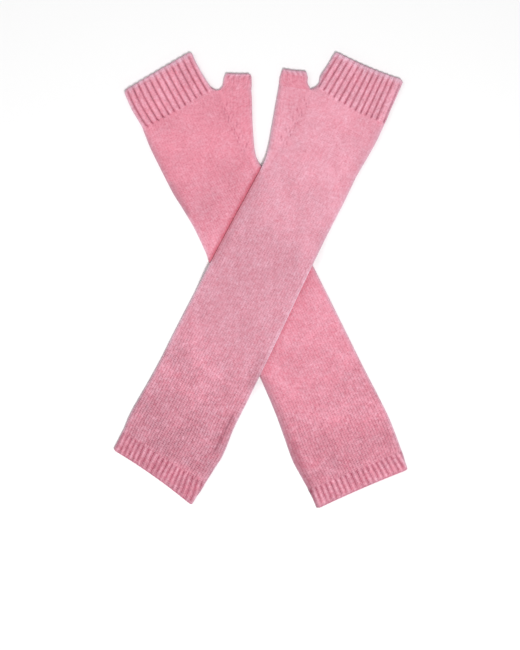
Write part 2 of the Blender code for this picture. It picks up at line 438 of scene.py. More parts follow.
def outside(glove, x, y):
    """How far points of the table lie past the glove's outer fold and past its thumb side's."""
    fingers, thumb = axes(glove)
    right, up = x - glove.hem_middle[0], y - glove.hem_middle[1]
    u = right * fingers[0] + up * fingers[1]
    v = right * thumb[0] + up * thumb[1]
    outer_fold, thumb_fold = side_folds(glove, u)
    return outer_fold - v, v - thumb_fold


def lift(glove, x, y):
    """The height of the glove's underside over the table, over the other glove or beside it."""
    if glove is UNDER:
        return np.zeros_like(x)
    away = np.maximum(*outside(UNDER, x, y)) - LEVEL_MARGIN
    return (THICK + CLEARANCE) * (1 - smooth_step(away / RAMP))


def placed(glove, u, v, z):
    """Points of the glove's own plane, in metres on the table."""
    x, y = on_table(glove, u, v)
    return np.stack((x, y, z + lift(glove, x, y)), axis=1) * MM


class Wander(NamedTuple):
    """A slow unevenness: how long it runs along and across the glove in mm, and its seed."""

    along: float
    across: float
    seed: int


WAVES = 7
WAVE_LENGTHS = (0.6, 1.7)
HIGHEST_WAVE = 4.5


def wandering(cloth, wander):
    """A smooth uneven value of about -1 to 1 over the cloth, the same on each run."""
    u, v = cloth.u / wander.along, cloth.v / wander.across
    waves = np.random.default_rng(wander.seed)
    total = np.zeros_like(u)
    for _ in range(WAVES):
        turn, length = waves.uniform(0, 2 * math.pi), waves.uniform(*WAVE_LENGTHS)
        shift = waves.uniform(0, 2 * math.pi)
        total += np.sin((u * math.cos(turn) + v * math.sin(turn)) / length + shift)
    return total / HIGHEST_WAVE


class Fade(NamedTuple):
    """An effect beside a line: its strength there, how far it reaches, and how sharply it ends."""

    strength: float
    reach: float
    power: float = 2


def faded(fade, distance):
    """How strong the effect still is at a distance from its line."""
    return fade.strength * np.exp(-((distance / fade.reach) ** fade.power))


def stroked(strokes, u, v):
    """How strong the soft bands are at each point, added up."""
    total = np.zeros_like(u)
    for stroke in strokes:
        run = np.subtract(stroke.end, stroke.start)
        share = ((u - stroke.start[0]) * run[0] + (v - stroke.start[1]) * run[1]) / (run @ run)
        share = np.clip(share, 0, 1)
        near = np.hypot(u - stroke.start[0] - run[0] * share, v - stroke.start[1] - run[1] * share)
        total += stroke.strength * (1 - smooth_step(near / stroke.reach))
    return total


def slanted(glove, along, v):
    """The station's u at a distance across: it follows the hem's slant, which fades out."""
    return along + glove.hem_slant * (1 - smooth_step(along / glove.slant_fade)) * v


class Line(NamedTuple):
    """A line across a tube for each point: its outer end, middle, thumb end and bow."""

    outer: np.ndarray
    middle: np.ndarray
    thumb: np.ndarray
    bow: np.ndarray


def walk(line, across):
    """The points at a distance across, on lines through an outer, a middle and a thumb point."""
    first = np.hypot(*(line.middle - line.outer))
    second = np.hypot(*(line.thumb - line.middle))
    near = line.outer + (line.middle - line.outer) * (across / first)
    far = line.middle + (line.thumb - line.middle) * ((across - first) / second)
    u, v = np.where(across <= first, near, far)
    off_middle = 2 * across / (first + second) - 1
    return u + line.bow * (1 - off_middle**2), v


def line_width(line):
    return np.hypot(*(line.middle - line.outer)) + np.hypot(*(line.thumb - line.middle))


def flattened(turn, width):
    """A point of a flattened tube's section, and the outward direction there.

    turn runs from 0 at the outer fold over the upper side to 1 at the thumb's fold, and back
    under it to 2. across is the distance from the outer fold, out and up are the direction, and
    path is the way round from the outer fold.
    """
    path = np.where(turn <= 1, turn, 2 - turn) * (width + 2 * FOLD_EXTRA)
    back = width + 2 * FOLD_EXTRA - path
    near = np.minimum(path, back)
    angle = np.minimum(near / FOLD_ARC, 1.0) * math.pi / 2
    reach = SIDE * (1 - np.cos(angle)) + np.maximum(near - FOLD_ARC, 0)
    across = np.where(path < back, reach, width - reach)
    out = np.where(path < back, -1.0, 1.0) * np.cos(angle)
    up = np.where(turn <= 1, 1.0, -1.0) * np.sin(angle)
    return across, out, up, path


def arm_line(glove, along):
    """The line across the arm and hand tube, bent at the notch beside the thumb."""
    notch_u, notch_v = glove.notch
    rise = np.clip((along - GUSSET_START) / (notch_u - GUSSET_START), 0, 1)
    bend = smooth_step(rise)
    thumb_along = along - bend * (notch_u - glove.thumb_base_u)
    outer = side_folds(glove, along)[0]
    thumb = side_folds(glove, thumb_along)[1]
    start_thumb = side_folds(glove, GUSSET_START)[1]
    straight = glove.gusset_v + (notch_v - glove.gusset_v) * rise
    middle = np.where(rise > 0, straight, thumb - start_thumb + glove.gusset_v)
    outer_u = slanted(glove, along, outer) + bend * (glove.mouth_outer_u - notch_u)
    return Line(
        np.stack((outer_u, outer)),
        np.stack((slanted(glove, along, middle), middle)),
        np.stack((slanted(glove, thumb_along, thumb), thumb)),
        np.zeros_like(along),
    )


class Rows(NamedTuple):
    """A tube's rows: how far along each lies, how deep inside, and how far past the end."""

    share: np.ndarray
    inset: np.ndarray
    forward: np.ndarray


SEAM_DEPTH = 1.1
LIP = 3.8
ROLL_STEPS = 8


def end_rows(place, way, seam):
    """A seam that turns in at once, or a rim that rolls in to a short lip."""
    if seam:
        return Rows(np.full(1, place), np.full(1, SEAM_DEPTH), np.zeros(1))
    roll = np.radians(np.linspace(0, 180, ROLL_STEPS + 1))[1:]
    inset = np.append(WALL / 2 * (1 - np.cos(roll)), (WALL, WALL))
    forward = np.append(way * WALL / 2 * np.sin(roll), (-way * LIP / 2, -way * LIP))
    return Rows(np.full(len(inset), place), inset, forward)


def tube_rows(count, seam_start, seam_end):
    """Even rows between a tube's two ends, which are seams or rims."""
    start = end_rows(0.0, -1.0, seam_start)
    end = end_rows(1.0, 1.0, seam_end)
    even = Rows(np.linspace(0, 1, count), np.zeros(count), np.zeros(count))
    return Rows(*(np.concatenate((a[::-1], b, c)) for a, b, c in zip(start, even, end)))


class Cloth(NamedTuple):
    """A tube before its relief: its mesh, and for each point where it lies on the tube."""

    data: bpy.types.Mesh
    rows: Rows
    line: Line
    across: np.ndarray
    out: np.ndarray
    up: np.ndarray
    path: np.ndarray
    u: np.ndarray
    v: np.ndarray


def tube_cloth(name, lines, upper, lower, rows):
    """A flat grid of points, each given its place round and along the tube."""
    grid = bmesh.new()
    count = len(rows.share)
    bmesh.ops.create_grid(grid, x_segments=upper + lower, y_segments=count - 1, size=0.5)
    data = bpy.data.meshes.new(name)
    grid.to_mesh(data)
    grid.free()
    flat = np.empty(len(data.vertices) * 3, np.float32)
    data.vertices.foreach_get("co", flat)
    flat = flat.reshape(-1, 3)[:, :2]
    flat = (flat - flat.min(0)) / (flat.max(0) - flat.min(0))
    column = np.rint(flat[:, 0] * (upper + lower))
    row = np.rint(flat[:, 1] * (count - 1)).astype(int)
    turn = np.where(column <= upper, column / upper, 1 + (column - upper) / lower)
    line = lines(rows.share[row])
    across, out, up, path = flattened(turn, line_width(line))
    here = Rows(*(values[row] for values in rows))
    u, v = walk(line, across)
    return Cloth(data, here, line, across, out, up, path, u, v)


LEAST_LEAN = 0.5


def unrolled(cloth):
    """v on the upper side, carried on round both folds as if the tube were slit and opened."""
    width = line_width(cloth.line)
    share = cloth.path / (width + 2 * FOLD_EXTRA)
    outer, thumb = cloth.line.outer[1], cloth.line.thumb[1]
    lean = np.maximum((thumb - outer) / width, LEAST_LEAN)
    return outer - FOLD_EXTRA * lean + (thumb - outer + 2 * FOLD_EXTRA * lean) * share


class Knit(NamedTuple):
    """The knitting at each point: its height, stitch counts, and how it is coloured."""

    top_relief: np.ndarray
    under_relief: np.ndarray
    wale: np.ndarray
    course: np.ndarray
    # Painted shade in rib grooves, creases, increase dips and along the rims.
    groove: np.ndarray
    shade: np.ndarray
    pale: np.ndarray
    crisp: np.ndarray
    # Painted red shadow beside the crossing.
    flush: np.ndarray = 0.0
    # Pale nap and painted sheen along the folds.
    fold_nap_and_sheen: np.ndarray = 1.0


class Rim(NamedTuple):
    """A free rim: its end, the tube's length, how its corners and rear lie, its nap and painted sheen,
    and its painted line of shade.
    """

    share: int
    length: float
    corner: float
    peek: float
    nap_and_sheen: Fade
    line: float


NO_RIM = Rim(share=-1, length=100.0, corner=0.0, peek=0.0, nap_and_sheen=Fade(0.0, 1.0), line=0.0)
NAP_AND_SHEEN_POWER = 1.5
# How far the painted line of shade along a rim reaches.
RIM_LINE = 0.9
RIM_BAND = Fade(1.0, 2.0)
CORNER_REACH = 2.6
CORNER_ALONG = 2.2
SCALLOP = Fade(0.25, 1.5)
# Pale nap with painted sheen along the folds.
FOLD_NAP_AND_SHEEN = Fade(0.27, 2.2, NAP_AND_SHEEN_POWER)
SEAM_ANGLE = math.radians(72)
MERGED = 1e-6
YARN_LOOKS = ("groove", "shade", "pale", "crisp", "flush")


def knit_piece(glove, cloth, knit, part, material, edge=NO_RIM):
    """Raises the knitting on its cloth, closes the tube along its outer fold and hands it over."""
    top = (1 + cloth.up) / 2
    inside = 1 - cloth.rows.inset / WALL
    relief = inside * (top * knit.top_relief + (1 - top) * knit.under_relief)
    raised = relief - cloth.rows.inset
    u, v = walk(cloth.line, cloth.across + cloth.out * raised)
    run = cloth.line.thumb - cloth.line.outer
    run = run / np.hypot(*run)
    rim = np.abs(cloth.rows.share - edge.share)
    width = line_width(cloth.line)
    from_fold = np.minimum(cloth.path, width + 2 * FOLD_EXTRA - cloth.path)
    from_rim = rim * edge.length
    corner = np.exp(-((from_fold / CORNER_REACH) ** 2) - (from_rim / CORNER_ALONG) ** 2)
    ahead = cloth.rows.forward + edge.peek * (1 - top) * (rim == 0)
    scallop = relief * faded(SCALLOP, from_rim)
    ahead = ahead + (edge.corner * corner - scallop) * (1 - 2 * edge.share)
    u = u + run[1] * ahead
    v = v - run[0] * ahead
    z = THICK / 2 * (1 + cloth.up) + cloth.up * raised
    data = cloth.data
    stitch_map = data.uv_layers.new(name="stitches")
    corners = np.empty(len(data.loops), np.int32)
    data.loops.foreach_get("vertex_index", corners)
    stitches = np.stack((knit.wale, knit.course), axis=1)
    stitch_map.data.foreach_set("uv", stitches[corners].astype(np.float32).ravel())
    to_fold = np.minimum(cloth.across, width - cloth.across)
    fold_nap_and_sheen = knit.fold_nap_and_sheen * faded(FOLD_NAP_AND_SHEEN, np.maximum(to_fold, 0))
    # Pale nap and painted sheen along the folds and the rim.
    nap_and_sheen = np.maximum(fold_nap_and_sheen, faded(edge.nap_and_sheen, from_rim))
    # A thin painted line of shade along the rim.
    line = faded(Fade(edge.line, RIM_LINE), from_rim)
    # Painted shade: the groove darkness, cleared near the rim, with the rim's painted line of shade
    # added.
    groove = knit.groove * (1 - faded(RIM_BAND, from_rim))
    knit = knit._replace(pale=knit.pale + nap_and_sheen, groove=np.clip(groove + line, 0, 1))
    for label in YARN_LOOKS:
        values = np.broadcast_to(getattr(knit, label), u.shape).astype(np.float32)
        data.attributes.new(label, "FLOAT", "POINT").data.foreach_set("value", values)
    data.vertices.foreach_set("co", placed(glove, u, v, z).astype(np.float32).ravel())
    closed = bmesh.new()
    closed.from_mesh(data)
    open_edge = [vert for vert in closed.verts if vert.is_boundary]
    bmesh.ops.remove_doubles(closed, verts=open_edge, dist=MERGED)
    bmesh.ops.recalc_face_normals(closed, faces=closed.faces)
    closed.to_mesh(data)
    closed.free()
    data.shade_smooth()
    data.set_sharp_from_angle(angle=SEAM_ANGLE)
    data.materials.append(material)
    piece = bpy.data.objects.new(data.name, data)
    bpy.context.scene.collection.objects.link(piece)
    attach(piece, "root")
    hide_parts(f"{glove.name}_{part}")
    return piece


CUT_STEPS = 60


def state_cut(lines):
    """Works out the lines across the whole tube at even steps, and keeps nothing of them."""
    line = lines(np.linspace(0, 1, CUT_STEPS))


# Every knit shares one fabric: soft heathered yarn in rows of small V-shaped stitches.
# The material reads the piece's own map, which counts wales across and courses along, and the
# brightness, nap and clearness that each point was given. Its groove darkness and red tint are
# painted shade, and its brightness and nap carry painted light and shade as well.
ROSE = (0.83, 0.265, 0.352, 1.0)
BLUSH = (0.90, 0.36, 0.455, 1.0)
# The pale nap colour, also mixed in for the painted sheen along folds and rims.
PALE_NAP_AND_SHEEN = (0.86, 0.86, 1.0, 1.0)
# The dark colour of painted shade, mixed into stitch gaps, rib grooves, creases, increase dips and rim
# lines.
PAINTED_SHADE = (0.40, 0.06, 0.12, 1.0)
# Painted red shadow beside where one glove lies over the other.
SHADOW_RED = (0.52, 0.04, 0.08, 1.0)
SHEEN_TINT = (1.0, 0.8, 0.86, 1.0)
FELT_SCALE = 320.0
PATCH_SCALE = 34.0
FUZZ_SCALE = 1100.0
PEBBLE_SCALE = 430.0
CLOUD_SCALE = 95.0
DRIFT_SCALE = 45.0
BROAD_SCALE = 19.0
LOOSE_SCALE = 0.55
FLECK_SCALE = 1.1


def add_node(tree, kind, place, inputs=(), **settings):
    node = tree.nodes.new(kind)
    node.location = place
    for key, value in settings.items():
        setattr(node, key, value)
    for key, value in dict(inputs).items():
        if isinstance(value, bpy.types.NodeSocket):
            tree.links.new(value, node.inputs[key])
        else:
            node.inputs[key].default_value = value
    return node


def maths(tree, operation, place, *values):
    node = add_node(tree, "ShaderNodeMath", place, dict(enumerate(values)), operation=operation)
    return node.outputs[0]


def vector_maths(tree, operation, place, *values):
    inputs = dict(enumerate(values))
    return add_node(tree, "ShaderNodeVectorMath", place, inputs, operation=operation).outputs[0]


def ramped(tree, place, value, low, high, to_low=0.0, to_high=1.0):
    inputs = {0: value, 1: low, 2: high, 3: to_low, 4: to_high}
    return add_node(tree, "ShaderNodeMapRange", place, inputs).outputs[0]


def mixed(tree, place, share, low, high, blend="MIX"):
    inputs = {0: share, 6: low, 7: high}
    node = add_node(tree, "ShaderNodeMix", place, inputs, data_type="RGBA", blend_type=blend)
    return node.outputs[2]


def cloudy(tree, place, vector, scale, detail):
    inputs = {"Vector": vector, "Scale": scale, "Detail": detail}
    return add_node(tree, "ShaderNodeTexNoise", place, inputs).outputs[0]


def new_group(name, inputs, outputs):
    group = bpy.data.node_groups.new(name, "ShaderNodeTree")
    for label, kind in inputs:
        group.interface.new_socket(label, in_out="INPUT", socket_type=kind)
    for label, kind in outputs:
        group.interface.new_socket(label, in_out="OUTPUT", socket_type=kind)
    start = add_node(group, "NodeGroupInput", (-1400, 0))
    end = add_node(group, "NodeGroupOutput", (900, 0))
    return group, start.outputs, end.inputs


LOOSE_ASIDE = 0.5
LOOSE_ALONG = 0.8
LEG_PLACE = 0.27
LEG_WIDTH = 0.16
VALLEY = (0.34, 0.5)
LEG_SLANT = -1.1
STRAND_WIDTH = 0.28
VALLEY_DEPTH = 0.6
WALE_LINE = 0.85
STITCH_GAP = 0.45
PEBBLE_DEPTH = 0.9
FUZZ_DEPTH = 0.5


def stitch_group():
    """Columns of V stitches: their height, and a mask of the gaps between the yarns and the wale
    valleys, where shade is painted.
    """
    group, given, made = new_group(
        "knit_stitches",
        [("Stitch", "NodeSocketVector"), ("Place", "NodeSocketVector"), ("Crisp", "NodeSocketFloat")],
        [("Height", "NodeSocketFloat"), ("Gap", "NodeSocketFloat"), ("Pebble", "NodeSocketFloat")],
    )
    split = add_node(group, "ShaderNodeSeparateXYZ", (-1200, 0), {0: given["Stitch"]})
    loose = cloudy(group, (-1200, -400), given["Stitch"], LOOSE_SCALE, 2.0)
    sway = maths(group, "MULTIPLY_ADD", (-1100, 200), loose, LOOSE_ASIDE, split.outputs["X"])
    wale = maths(group, "FRACT", (-1000, 100), maths(group, "SUBTRACT", (-1050, 200), sway, 0.25))
    aside = maths(group, "ABSOLUTE", (-800, 100), maths(group, "SUBTRACT", (-900, 100), wale, 0.5))
    leg = maths(group, "PINGPONG", (-750, 250), aside, LEG_PLACE)
    leg = ramped(group, (-700, 250), leg, 0.0, LEG_WIDTH)
    valley = ramped(group, (-700, 400), aside, *VALLEY)
    course = maths(group, "MULTIPLY_ADD", (-600, -100), aside, LEG_SLANT, split.outputs["Y"])
    course = maths(group, "MULTIPLY_ADD", (-550, -100), loose, LOOSE_ALONG, course)
    course = maths(group, "PINGPONG", (-500, -100), course, 0.5)
    strand = ramped(group, (-400, -100), course, 0.0, STRAND_WIDTH)
    yarn = maths(group, "MULTIPLY", (-200, 0), leg, strand)
    felt = cloudy(group, (-1200, -700), given["Place"], FELT_SCALE, 3.0)
    felted = ramped(group, (-700, -700), felt, 0.35, 0.7, 1.2, 0.5)
    patch = cloudy(group, (-1200, -850), given["Place"], PATCH_SCALE, 2.0)
    patch = ramped(group, (-700, -850), patch, 0.36, 0.64, 0.85, 1.15)
    felted = maths(group, "MULTIPLY", (-400, -700), felted, patch)
    wale_line = maths(group, "MULTIPLY", (-100, -550), given["Crisp"], WALE_LINE)
    clear = maths(group, "MULTIPLY", (-100, -400), given["Crisp"], felted)
    sunken = maths(group, "MULTIPLY", (-100, 300), valley, VALLEY_DEPTH)
    raised = maths(group, "SUBTRACT", (0, 200), yarn, sunken)
    fuzz = cloudy(group, (-1200, -1000), given["Place"], FUZZ_SCALE, 3.0)
    pebble = cloudy(group, (-900, -900), given["Place"], PEBBLE_SCALE, 2.0)
    pebble = ramped(group, (-700, -900), pebble, 0.3, 0.7)
    fuzz = maths(group, "MULTIPLY_ADD", (0, -900), pebble, PEBBLE_DEPTH, fuzz)
    fuzz = maths(group, "MULTIPLY", (200, 0), fuzz, FUZZ_DEPTH)
    height = maths(group, "MULTIPLY_ADD", (300, 200), raised, clear, fuzz)
    group.links.new(height, made["Height"])
    group.links.new(pebble, made["Pebble"])
    # Painted shade between the yarns and along the wale valleys, clearer where the stitches are crisp.
    gap = maths(group, "SUBTRACT", (0, -200), 1.0, yarn)
    gap = maths(group, "MULTIPLY", (100, -200), gap, STITCH_GAP)
    gap = maths(group, "MULTIPLY_ADD", (200, -200), valley, wale_line, gap)
    gap = maths(group, "MULTIPLY", (300, -200), gap, clear)
    group.links.new(gap, made["Gap"])
    return group


STITCH_CELL = (1.0, 0.6, 1.0)
ODD_STITCH = 0.07
PEBBLE_SHADE = 0.1
CLOUDS = (-0.03, 0.06)
DRIFT = (0.96, 1.04)
CLEAR_GRAIN = (0.75, 0.45)
GRAIN_NAP = 0.6
GRAIN_SHADE = 0.6
GAP_DARK = 0.6


def heather_group():
    """Colour of mixed yarn: flecks along the stitches, soft clouds, painted shade in the gaps and
    grooves, and a painted red shadow.
    """
    group, given, made = new_group(
        "heather_yarn",
        [
            ("Stitch", "NodeSocketVector"),
            ("Place", "NodeSocketVector"),
            ("Gap", "NodeSocketFloat"),
            ("Groove", "NodeSocketFloat"),
            ("Shade", "NodeSocketFloat"),
            ("Pale", "NodeSocketFloat"),
            ("Crisp", "NodeSocketFloat"),
            ("Red Shadow", "NodeSocketFloat"),
            ("Pebble", "NodeSocketFloat"),
        ],
        [("Color", "NodeSocketColor")],
    )
    fleck = cloudy(group, (-1000, 200), given["Stitch"], FLECK_SCALE, 3.0)
    fleck = ramped(group, (-800, 200), fleck, 0.36, 0.66)
    cell = vector_maths(group, "MULTIPLY", (-1300, 500), given["Stitch"], STITCH_CELL)
    cell = vector_maths(group, "FLOOR", (-1200, 500), cell)
    odd = add_node(group, "ShaderNodeTexWhiteNoise", (-1000, 500), {"Vector": cell}).outputs[0]
    odd = ramped(group, (-800, 500), odd, 0.0, 1.0, -ODD_STITCH, ODD_STITCH)
    yarn = mixed(group, (-500, 200), fleck, ROSE, BLUSH)
    cloud = cloudy(group, (-1000, -100), given["Place"], CLOUD_SCALE, 3.0)
    cloud = ramped(group, (-800, -100), cloud, 0.32, 0.7, *CLOUDS)
    grain = given["Pebble"]
    grain = ramped(group, (-1100, -600), grain, 0.0, 1.0, -PEBBLE_SHADE, PEBBLE_SHADE)
    grain = maths(group, "ADD", (-1000, -600), grain, odd)
    clear = maths(group, "MULTIPLY_ADD", (-1000, -700), given["Crisp"], *CLEAR_GRAIN)
    grain = maths(group, "MULTIPLY", (-900, -600), grain, clear)
    pale = maths(group, "ADD", (-600, -100), cloud, given["Pale"])
    pale = maths(group, "MULTIPLY_ADD", (-550, -150), grain, GRAIN_NAP, pale)
    nap_and_sheen_mixed = mixed(group, (-300, 100), maths(group, "MAXIMUM", (-500, -100), pale, 0.0), yarn, PALE_NAP_AND_SHEEN)
    drift = cloudy(group, (-1000, -400), given["Place"], DRIFT_SCALE, 2.0)
    drift = ramped(group, (-800, -400), drift, 0.3, 0.7, *DRIFT)
    shade = maths(group, "MULTIPLY", (-600, -400), drift, given["Shade"])
    broad = cloudy(group, (-1000, -800), given["Place"], BROAD_SCALE, 2.0)
    broad = ramped(group, (-800, -800), broad, 0.3, 0.7, *DRIFT)
    shade = maths(group, "MULTIPLY", (-550, -500), shade, broad)
    grain = maths(group, "MULTIPLY_ADD", (-600, -600), grain, GRAIN_SHADE, 1.0)
    shade = maths(group, "MULTIPLY", (-500, -400), shade, grain)
    grey = add_node(group, "ShaderNodeCombineXYZ", (-400, -400), {0: shade, 1: shade, 2: shade})
    shaded = mixed(group, (-100, 100), 1.0, nap_and_sheen_mixed, grey.outputs[0], "MULTIPLY")
    # Painted shade in the stitch gaps.
    gap = maths(group, "MULTIPLY", (-300, -200), given["Gap"], GAP_DARK)
    gaps = mixed(group, (100, 100), gap, shaded, PAINTED_SHADE)
    # Painted shade in the grooves, creases, dips and rim lines.
    grooves = mixed(group, (300, 100), given["Groove"], gaps, PAINTED_SHADE)
    # Painted red shadow beside the crossing.
    red_shadowed = mixed(group, (500, 100), given["Red Shadow"], grooves, SHADOW_RED)
    group.links.new(red_shadowed, made["Color"])
    return group


STITCHES = stitch_group()
HEATHER = heather_group()
STITCH_BUMP = 0.8
STITCH_HEIGHT = 0.0006


def knit_material(name):
    """Matt yarn with a short soft nap that catches the light at the folds."""
    material = bpy.data.materials.new(name)
    material.use_nodes = True
    tree = material.node_tree
    shader = tree.nodes["Principled BSDF"]
    shader.inputs["Roughness"].default_value = 0.92
    shader.inputs["Specular IOR Level"].default_value = 0.12
    shader.inputs["Sheen Weight"].default_value = 0.3
    shader.inputs["Sheen Roughness"].default_value = 0.5
    shader.inputs["Sheen Tint"].default_value = SHEEN_TINT
    stitch_map = add_node(tree, "ShaderNodeUVMap", (-1300, 200), uv_map="stitches").outputs[0]
    place = add_node(tree, "ShaderNodeTexCoord", (-1300, 0)).outputs["Object"]
    given = {}
    for number, label in enumerate(YARN_LOOKS):
        read = add_node(tree, "ShaderNodeAttribute", (-1300, -200 - 150 * number), attribute_name=label)
        given[label] = read.outputs["Fac"]
    stitches = add_node(tree, "ShaderNodeGroup", (-1000, 200), node_tree=STITCHES)
    for label, value in (("Stitch", stitch_map), ("Place", place), ("Crisp", given["crisp"])):
        tree.links.new(value, stitches.inputs[label])
    heather = add_node(tree, "ShaderNodeGroup", (-700, 200), node_tree=HEATHER)
    for label, value in (
        ("Stitch", stitch_map),
        ("Place", place),
        ("Gap", stitches.outputs["Gap"]),
        ("Groove", given["groove"]),
        ("Shade", given["shade"]),
        ("Pale", given["pale"]),
        ("Crisp", given["crisp"]),
        ("Red Shadow", given["flush"]),
        ("Pebble", stitches.outputs["Pebble"]),
    ):
        tree.links.new(value, heather.inputs[label])
    tree.links.new(heather.outputs["Color"], shader.inputs["Base Color"])
    bump = {
        "Strength": STITCH_BUMP,
        "Distance": STITCH_HEIGHT,
        "Height": stitches.outputs["Height"],
    }
    raised = add_node(tree, "ShaderNodeBump", (-400, -300), bump)
    tree.links.new(raised.outputs["Normal"], shader.inputs["Normal"])
    return material


PLAIN_KNIT = knit_material("plain_knit")


# The arm tube's own knitting: fine wales, with more of them as the gusset widens, soft folds and
# creases, broken rows of increase marks, and what one glove on the other does to both: a low
# swell, and painted light and shade.
ARM_UPPER = 228
ARM_LOWER = 114
ARM_ROWS = 282
WALES = 38
GUSSET_WALES = 2
COURSE = 1.9
WALE_RISE = 0.36
WALE_ROUND = 0.8
WALE_LEVEL = 0.55
WALE_SWAY = 0.10
WALE_WANDER = Wander(16, 9, 3)
SOFTNESS = 0.22
SOFT_WANDER = Wander(26, 20, 5)
CREASE_SHADE = 0.35
JOIN_BLUR = Fade(1.0, 1.4)

INCREASE_SPACING = 4.6
INCREASE_STAGGER = 0.37
INCREASE_LEAN = 0.35
INCREASE_STRAY = 0.5
INCREASE_LENGTH = 1.3
INCREASE_WIDTH = 0.7
INCREASE_DIP = 0.5
# Painted shade in the increase dips.
INCREASE_DARK = 0.6
INCREASE_ROWS = (-5.2, -2.6, 0.0, 2.6)
INCREASES_START = (20, 16)
INCREASES_END = (88, 10)

# Painted light and shade at the crossing: the lower glove brighter beside the upper one's thumb side
# and a painted red shadow beside its folds; on the upper glove, painted highlights along its folds and
# painted shade and red near its thumb fold.
BESIDE_BRIGHT = Fade(0.16, 14.0, 1)
BESIDE_THUMB_SHADOW = Fade(0.62, 3.1, 3)
BESIDE_OUTER_SHADOW = Fade(0.16, 6.0)
SWELL = Fade(1.9, 5.0)
SWELL_RISE = 1.6
CROSSED_MARGIN = 4.0
CROSSED_DIM = Fade(0.11, 8.0, 4)
THUMB_FOLD_LIT = Fade(0.15, 1.6)
THUMB_FOLD_SHADOW = Fade(0.44, 2.4)
OUTER_FOLD_LIT = Fade(0.2, 1.6)
CROSSED_NAP_AND_SHEEN_LOSS = 0.8


def toned(glove, cloth, along):
    """The yarn's brightness, nap and clearness at a distance from the hem, with painted shade and
    light.
    """
    places = [row.along for row in glove.tones]
    shade, pale, crisp = (
        np.interp(along, places, [row[column] for row in glove.tones]) for column in (1, 2, 3)
    )
    return shade * (1 - stroked(glove.shading_and_tone, cloth.u, cloth.v)), pale, crisp


def crossing_looks(glove, cloth):
    """The crossing's painted light and shade, painted red shadow, nap and sheen left on folds, and
    swell.
    """
    x, y = on_table(glove, cloth.u, cloth.v)
    outer, thumb = outside(OVER, x, y)
    if glove is UNDER:
        past_thumb, past_outer = np.maximum(thumb, 0), np.maximum(outer, 0)
        above = thumb > outer
        bright = 1 + faded(BESIDE_BRIGHT, past_thumb) * above
        beside = faded(BESIDE_THUMB_SHADOW, past_thumb), faded(BESIDE_OUTER_SHADOW, past_outer)
        swell = smooth_step(thumb / SWELL_RISE + 1) * faded(SWELL, past_thumb) * above
        return bright, np.where(above, *beside), 1.0, swell
    crossed = smooth_step(-np.maximum(*outside(UNDER, x, y)) / CROSSED_MARGIN)
    lit = faded(OUTER_FOLD_LIT, outer) + faded(THUMB_FOLD_LIT, thumb) - faded(CROSSED_DIM, thumb)
    red_shade = faded(THUMB_FOLD_SHADOW, thumb)
    nap_and_sheen_left = 1 - CROSSED_NAP_AND_SHEEN_LOSS * crossed * (thumb > outer)
    return 1 + crossed * lit, crossed * red_shade, nap_and_sheen_left, 0.0


def arm_wales(glove, along, cloth):
    """The wale number at a point, and how far it lies past the gusset's inner edge.

    Wales run straight over the hand, and along the thumb's fold in the gusset.
    """
    hand_path = np.hypot(*(cloth.line.middle - cloth.line.outer)) + FOLD_EXTRA
    gusset_path = np.hypot(*(cloth.line.thumb - cloth.line.middle)) + FOLD_EXTRA
    start_gusset = side_folds(glove, GUSSET_START)[1] - glove.gusset_v + FOLD_EXTRA
    wale_step = np.where(along < GUSSET_START, gusset_path, start_gusset) / GUSSET_WALES
    hand = (WALES - GUSSET_WALES) * cloth.path / hand_path
    gusset = WALES - (hand_path + gusset_path - cloth.path) / wale_step
    return np.where(cloth.path <= hand_path, hand, gusset), cloth.path - hand_path


def wale_relief(wale, crisp):
    """The low ridges of plain knit, on the upper side and on the underside."""
    ridge = np.abs(np.sin(np.pi * wale)) ** WALE_ROUND
    rise = WALE_RISE * (0.5 + 0.5 * crisp)
    return rise * (ridge - WALE_LEVEL), rise * (ridge - 1)


def increase_marks(along, beyond):
    """Small dips where wales were added, in broken rows up the gusset's inner edge.

    The sines only make the marks uneven, in place and in strength.
    """
    marks = np.zeros_like(along)
    up_gusset = along - GUSSET_START
    for number, row in enumerate(INCREASE_ROWS):
        step = up_gusset / INCREASE_SPACING + INCREASE_STAGGER * number
        count = np.rint(step)
        near = (step - count) * INCREASE_SPACING
        stray = INCREASE_STRAY * np.sin(2.4 * count + number)
        aside = beyond - row - INCREASE_LEAN * near - stray
        strength = 0.55 + 0.45 * np.sin(3.7 * count + 1.9 * number)
        off = (near / INCREASE_LENGTH) ** 2 + (aside / INCREASE_WIDTH) ** 2
        marks += strength * np.exp(-off)
    (start, start_run), (end, end_run) = INCREASES_START, INCREASES_END
    started = smooth_step((up_gusset - start) / start_run)
    return marks * started * smooth_step((end - up_gusset) / end_run)


def rib_number(grooves, v, share):
    """The number of the rib's groove at a point, or a fraction between two of them."""
    middle = 4 * share * (1 - share)
    places = [row.rim_v + (row.fade_v - row.rim_v) * share + row.bow * middle for row in grooves]
    number = np.full_like(v, -np.inf)
    for low, high, start, end in zip(grooves, grooves[1:], places, places[1:]):
        between = low.number + (v - start) / (end - start) * (high.number - low.number)
        number = np.where((v > start) | np.isinf(number), between, number)
    return number


class Rib(NamedTuple):
    """How a rib is knitted: its ridges' rise, its grooves' depth, shape, painted shade and wales."""

    rise: float
    depth: float
    sharp: float
    dark: float
    wales: int


class Ribs(NamedTuple):
    """A rib at each point: relief above and below, painted groove shade, painted ridge light, wale
    number.
    """

    top: np.ndarray
    under: np.ndarray
    dark: np.ndarray
    light: np.ndarray
    wale: np.ndarray


